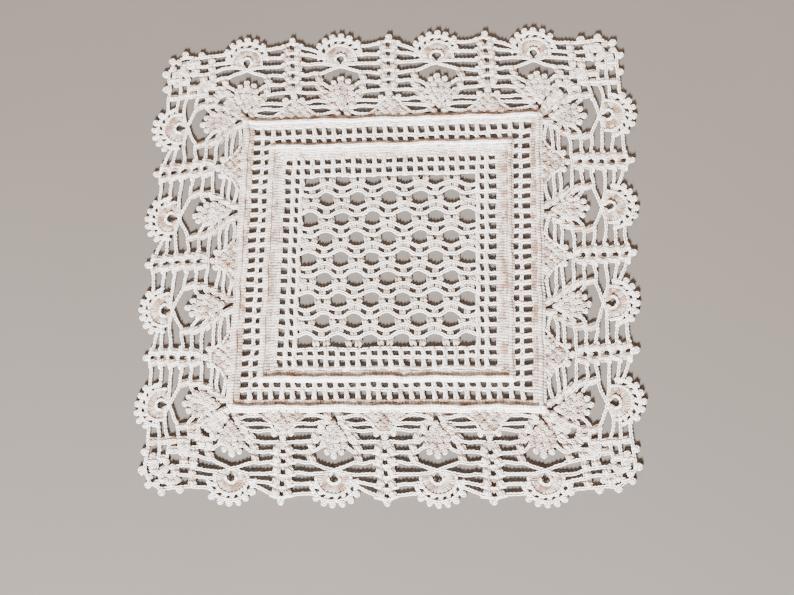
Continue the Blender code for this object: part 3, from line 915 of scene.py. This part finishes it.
def thread_piece(name, stitches, seed):
    """One mesh of all the stitches' rings, in metres."""
    vertices, faces, uvs, beige = [], [], [], []
    first = 0
    for kind, rows in in_hand(stitches, seed).rows.items():
        lines, plane, radius = rings_of(kind, rows)
        rings, points, _ = lines.shape
        vertices.append(tubes(lines, plane, radius).reshape(-1, 3))
        faces.append(tube_faces(rings, points).reshape(-1, 4) + first)
        uvs.append(thread_uv(lines).reshape(-1, 2))
        beige.append(np.repeat(rows[:, 8], points * THREAD_SIDES))
        first += len(vertices[-1])
    vertices, faces, uvs = np.vstack(vertices) * MM, np.vstack(faces), np.vstack(uvs)
    plan, order = seen_from_above(vertices, faces)
    faces, plan, uvs = faces[order], plan[order], uvs.reshape(-1, 4, 2)[order]
    mesh = bpy.data.meshes.new(name)
    mesh.vertices.add(len(vertices))
    mesh.vertices.foreach_set("co", vertices.ravel())
    mesh.loops.add(faces.size)
    mesh.loops.foreach_set("vertex_index", faces.ravel())
    mesh.polygons.add(len(faces))
    mesh.polygons.foreach_set("loop_start", np.arange(0, faces.size, 4))
    for name_of_map, places in (("Thread", uvs), ("OFBake", plan)):
        mesh.uv_layers.new(name=name_of_map)
        mesh.uv_layers[name_of_map].uv.foreach_set("vector", places.ravel())
    # per point, the stitch's painted shade as tan, with its random stray
    mesh.attributes.new("Beige", "FLOAT", "POINT").data.foreach_set("value", np.concatenate(beige))
    mesh.update(calc_edges=True)
    mesh.validate()
    mesh.shade_smooth()
    return added(name, mesh)


# ----- Materials


class Value:
    """A shader socket that can be reckoned with: an expression on it adds its Math nodes."""

    def __init__(self, nodes, socket):
        self.nodes, self.socket = nodes, socket

    def _math(self, operation, *sides):
        made = self.nodes.node("ShaderNodeMath", {"operation": operation}, dict(enumerate(sides)))
        return Value(self.nodes, made.outputs[0])

    def __add__(self, other):
        return self._math("ADD", self, other)

    def __sub__(self, other):
        return self._math("SUBTRACT", self, other)

    def __rsub__(self, other):
        return self._math("SUBTRACT", other, self)

    def __mul__(self, other):
        return self._math("MULTIPLY", self, other)

    __radd__, __rmul__ = __add__, __mul__

    def sine(self):
        return self._math("SINE", self)

    def eased(self, low, high):
        """0 under low and 1 over high, with a soft run between them."""
        inputs = {"Value": self, "From Min": low, "From Max": high}
        made = self.nodes.node("ShaderNodeMapRange", {"interpolation_type": "SMOOTHSTEP"}, inputs)
        return Value(self.nodes, made.outputs["Result"])


class Nodes:
    """A material's nodes, with one way to add a node of any type."""

    def __init__(self, name):
        self.material = bpy.data.materials.new(name)
        self.material.use_nodes = True
        self.tree = self.material.node_tree
        self.shader = self.tree.nodes["Principled BSDF"]

    def node(self, kind, settings, inputs):
        """A node of any type, with its settings set first and its sockets fed after them."""
        made = self.tree.nodes.new(kind)
        for name, setting in settings.items():
            setattr(made, name, setting)
        self.feed(made, inputs)
        return made

    def feed(self, node, inputs):
        """Links or sets a node's sockets, by their names or numbers."""
        for name, value in inputs.items():
            socket = node.inputs[name]
            source = getattr(value, "socket", value)
            if isinstance(source, bpy.types.NodeSocket):
                self.tree.links.new(source, socket)
            else:
                socket.default_value = source

    def mixed(self, share, first, second):
        """A colour that goes from the first to the second as share goes from 0 to 1."""
        made = self.node("ShaderNodeMix", {"data_type": "RGBA"}, {0: share, 6: first, 7: second})
        return made.outputs[2]

    def clouds(self, place, scale, detail, low, high):
        """Soft clouds of noise, 0 where it is under low and 1 where it is over high."""
        inputs = {"Vector": place, "Scale": scale, "Detail": detail}
        made = self.node("ShaderNodeTexNoise", {}, inputs)
        return Value(self, made.outputs[0]).eased(low, high)


# Noise in the colours. Columns: its scale and detail, where a cloud begins and where it is full.
PATCHES = (22.0, 2.0, 0.45, 0.70)
SPOTS = (95.0, 3.0, 0.68, 0.80)
MOTTLE = (190.0, 2.0, 0.36, 0.62)
FLOOR_CLOUDS = (6.0, 3.0, 0.3, 0.7)
LOW_SHADE_HEIGHTS = (0.0006, 0.0019)  # heights between which the painted shade on low thread fades out, m
# How much of the tan each of them brings: painted shade on low thread, and random clouds
LOW_SHADE_SHARE, PATCH_SHARE = 0.4, 0.1
STITCH_SHADE_SHARE, MOTTLE_SHARE = 0.55, 0.75  # of a stitch's painted shade: a fixed part, and one that follows random mottle
SPOT_SHARE = 0.45  # of the spots' own colour
PLY_TURNS = 3  # strands of the ply round the thread
PLY_DEEP, PLY_STRENGTH = 0.00006, 0.5
FLOOR_CLOUD, FLOOR_CLOUD_SHARE = (0.110, 0.097, 0.088, 1.0), 0.25


def cotton_material(look):
    """Ivory cotton: painted shade where the thread lies low, on its flanks and on shaded stitches,
    with faint tea-coloured spots and a ply.
    """
    nodes = Nodes("Cotton")
    place = nodes.node("ShaderNodeTexCoord", {}, {}).outputs["Object"]
    split = nodes.node("ShaderNodeSeparateXYZ", {}, {0: place})
    height = Value(nodes, split.outputs["Z"])
    # painted shade where the thread lies low
    low = 1 - height.eased(*LOW_SHADE_HEIGHTS)
    patches = nodes.clouds(place, *PATCHES)
    spots = nodes.clouds(place, *SPOTS)
    beige = nodes.node("ShaderNodeAttribute", {"attribute_name": "Beige"}, {}).outputs["Fac"]
    thread = nodes.node("ShaderNodeUVMap", {"uv_map": "Thread"}, {}).outputs[0]
    run = nodes.node("ShaderNodeSeparateXYZ", {}, {0: thread})
    along, round_it = Value(nodes, run.outputs["X"]), Value(nodes, run.outputs["Y"])
    # painted shade on each thread's flanks and underside, none on its top
    flank_shade = 0.5 + (round_it * (2 * math.pi) - 0.25 * math.pi).sine() * 0.5
    mottle = nodes.clouds(place, *MOTTLE)
    # each stitch's painted shade, broken up by random mottle
    stitch_shade = Value(nodes, beige) * (STITCH_SHADE_SHARE + mottle * MOTTLE_SHARE)
    # share of the tan: painted shade of the stitch, of low thread and of thread flanks, and random
    # clouds
    share = stitch_shade + low * LOW_SHADE_SHARE + flank_shade * look.flank_shade + patches * PATCH_SHARE
    colour = nodes.mixed(share, tuple(look.ivory), tuple(look.shade_tan))
    colour = nodes.mixed(spots * SPOT_SHARE, colour, tuple(look.stain))
    twist = along * (2 * math.pi / look.ply_long) + round_it * (2 * math.pi * PLY_TURNS)
    inputs = {"Strength": PLY_STRENGTH, "Distance": PLY_DEEP, "Height": twist.sine()}
    bump = nodes.node("ShaderNodeBump", {}, inputs)
    nodes.feed(nodes.shader, {"Base Color": colour, "Normal": bump.outputs[0]})
    nodes.feed(nodes.shader, {"Roughness": 0.85, "Sheen Weight": 0.15, "Sheen Roughness": 0.6})
    return nodes.material


def floor_material(look):
    """A plain pale floor with faint clouds of a second tone."""
    nodes = Nodes("Pale floor")
    place = nodes.node("ShaderNodeTexCoord", {}, {}).outputs["Object"]
    share = nodes.clouds(place, *FLOOR_CLOUDS) * FLOOR_CLOUD_SHARE
    colour = nodes.mixed(share, tuple(look.floor), FLOOR_CLOUD)
    nodes.feed(nodes.shader, {"Base Color": colour, "Roughness": 0.7})
    return nodes.material


# ----- Settings


def colour_property(name, description, default):
    return bpy.props.FloatVectorProperty(
        name=name, description=description, default=default, size=4, subtype="COLOR", min=0, max=1
    )


class CottonLook(bpy.types.PropertyGroup):
    ivory: colour_property("Ivory", "Colour of the cotton in the light", (0.90, 0.875, 0.84, 1.0))
    # Tan used for painted shade low between the stitches, on thread flanks and shaded stitches, and
    # for random clouds
    shade_tan: colour_property("Recess", "Colour low between the stitches", (0.28, 0.175, 0.12, 1.0))
    stain: colour_property("Age spots", "Colour of the faint old spots", (0.72, 0.55, 0.36, 1.0))
    # Painted shade on each thread's flanks and underside, none on its top
    flank_shade: bpy.props.FloatProperty(
        name="Flanks", description="How much warmer a thread's underside is", default=0.35
    )
    ply_long: bpy.props.FloatProperty(
        name="Ply", description="Length of one turn of the thread's ply, mm", default=1.6
    )


class StageLook(bpy.types.PropertyGroup):
    floor: colour_property("Floor", "Colour of the plain floor", (0.125, 0.110, 0.100, 1.0))
    reach: bpy.props.FloatProperty(
        name="Floor size", description="Side of the floor", default=6.0, unit="LENGTH"
    )
    lens: bpy.props.FloatProperty(
        name="Lens", description="Focal length of the camera, mm", default=51.58
    )


# ----- Pieces


def finished(piece, look):
    """Gives a piece the cotton, which the first of them makes, and sets it on the body."""
    piece.data.materials.append(bpy.data.materials.get("Cotton") or cotton_material(look))
    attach(piece, "root")
    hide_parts(DOILY)


class LACE_OT_bands(bpy.types.Operator):
    """Make the two ribbed bands with the filet rounds between them, one piece a side"""

    bl_idname = "lace.bands"
    bl_label = "Ribbed bands"

    def execute(self, context):
        for turn, side in enumerate(SIDES):
            made = band_side(side).turned(turn)
            piece = thread_piece("band_" + side, made, BAND_SEED + turn)
            finished(piece, context.scene.lace_cotton)
        return {"FINISHED"}


class LACE_OT_edging(bpy.types.Operator):
    """Make the lace edging, one piece a side with the corner to its right"""

    bl_idname = "lace.edging"
    bl_label = "Lace edging"

    def execute(self, context):
        made = edging_side()
        for turn, side in enumerate(SIDES):
            piece = thread_piece("edging_" + side, made.turned(turn), EDGING_SEED + turn)
            finished(piece, context.scene.lace_cotton)
        return {"FINISHED"}


class LACE_OT_panel(bpy.types.Operator):
    """Make the square net with its filet border, the sheet that the bands and edging are on"""

    bl_idname = "lace.panel"
    bl_label = "Net panel"

    def execute(self, context):
        piece = thread_piece("net_panel", panel(), PANEL_SEED)
        finished(piece, context.scene.lace_cotton)
        return {"FINISHED"}


CAMERA_PLACE = (0.08524, -0.20878, 0.65979)
CAMERA_TURN = (0.27112, 0.11209, 0.018767)
SENSOR_WIDE = 36.0
# Lights. Columns: name, place and side in m, power in W, colour.
LIGHTS = (
    ("key", (-0.4, -2.2, 1.05), 0.45, 580.0, (1.0, 0.98, 0.96)),
    ("fill", (0.3, 2.0, 0.8), 1.0, 60.0, (1.0, 0.70, 0.50)),
)
STUDIO_COLOUR, STUDIO_STRENGTH = (1.0, 0.90, 0.82, 1.0), 0.20


def area_light(name, place, size, power, colour):
    """A soft square light that looks at the doily's middle."""
    data = bpy.data.lights.new(name, "AREA")
    data.size, data.energy, data.color = size, power, colour
    lamp = added(name, data)
    x, y, z = place
    lamp.location = place
    lamp.rotation_euler = (math.atan2(math.hypot(x, y), z), 0.0, math.atan2(x, -y))


class LACE_OT_stage(bpy.types.Operator):
    """Make the floor, the lights and the camera"""

    bl_idname = "lace.stage"
    bl_label = "Stage"

    def execute(self, context):
        look = context.scene.lace_stage
        half = look.reach / 2
        mesh = bpy.data.meshes.new("floor")
        corners = [(-half, -half, 0), (half, -half, 0), (half, half, 0), (-half, half, 0)]
        mesh.from_pydata(corners, [], [(0, 1, 2, 3)])
        mesh.materials.append(floor_material(look))
        floor = added("floor", mesh)
        for light in LIGHTS:
            area_light(*light)
        world = bpy.data.worlds.new("studio")
        world.use_nodes = True
        background = world.node_tree.nodes["Background"]
        background.inputs["Color"].default_value = STUDIO_COLOUR
        background.inputs["Strength"].default_value = STUDIO_STRENGTH
        context.scene.world = world
        data = bpy.data.cameras.new("camera")
        data.lens = look.lens
        data.sensor_width = SENSOR_WIDE
        camera = added("camera", data)
        camera.location = CAMERA_PLACE
        camera.rotation_euler = CAMERA_TURN
        context.scene.camera = camera
        return {"FINISHED"}


class LACE_PT_panel(bpy.types.Panel):
    """Lists the doily's pieces and their colours"""

    bl_label = "Lace doily"
    bl_idname = "LACE_PT_panel"
    bl_space_type = "VIEW_3D"
    bl_region_type = "UI"
    bl_category = "Lace"

    def draw(self, context):
        for group in (context.scene.lace_cotton, context.scene.lace_stage):
            for name in group.__annotations__:
                self.layout.prop(group, name)
        for operator in OPERATORS:
            self.layout.operator(operator.bl_idname)


OPERATORS = (LACE_OT_stage, LACE_OT_bands, LACE_OT_edging, LACE_OT_panel)
CLASSES = (CottonLook, StageLook, *OPERATORS, LACE_PT_panel)


def register():
    for each in CLASSES:
        bpy.utils.register_class(each)
    bpy.types.Scene.lace_cotton = bpy.props.PointerProperty(type=CottonLook)
    bpy.types.Scene.lace_stage = bpy.props.PointerProperty(type=StageLook)


def unregister():
    del bpy.types.Scene.lace_stage
    del bpy.types.Scene.lace_cotton
    for each in reversed(CLASSES):
        bpy.utils.unregister_class(each)


def main():
    """Registers the classes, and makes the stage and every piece."""
    register()
    for operator in OPERATORS:
        group, name = operator.bl_idname.split(".")
        getattr(getattr(bpy.ops, group), name)()


if __name__ == "__main__":
    main()
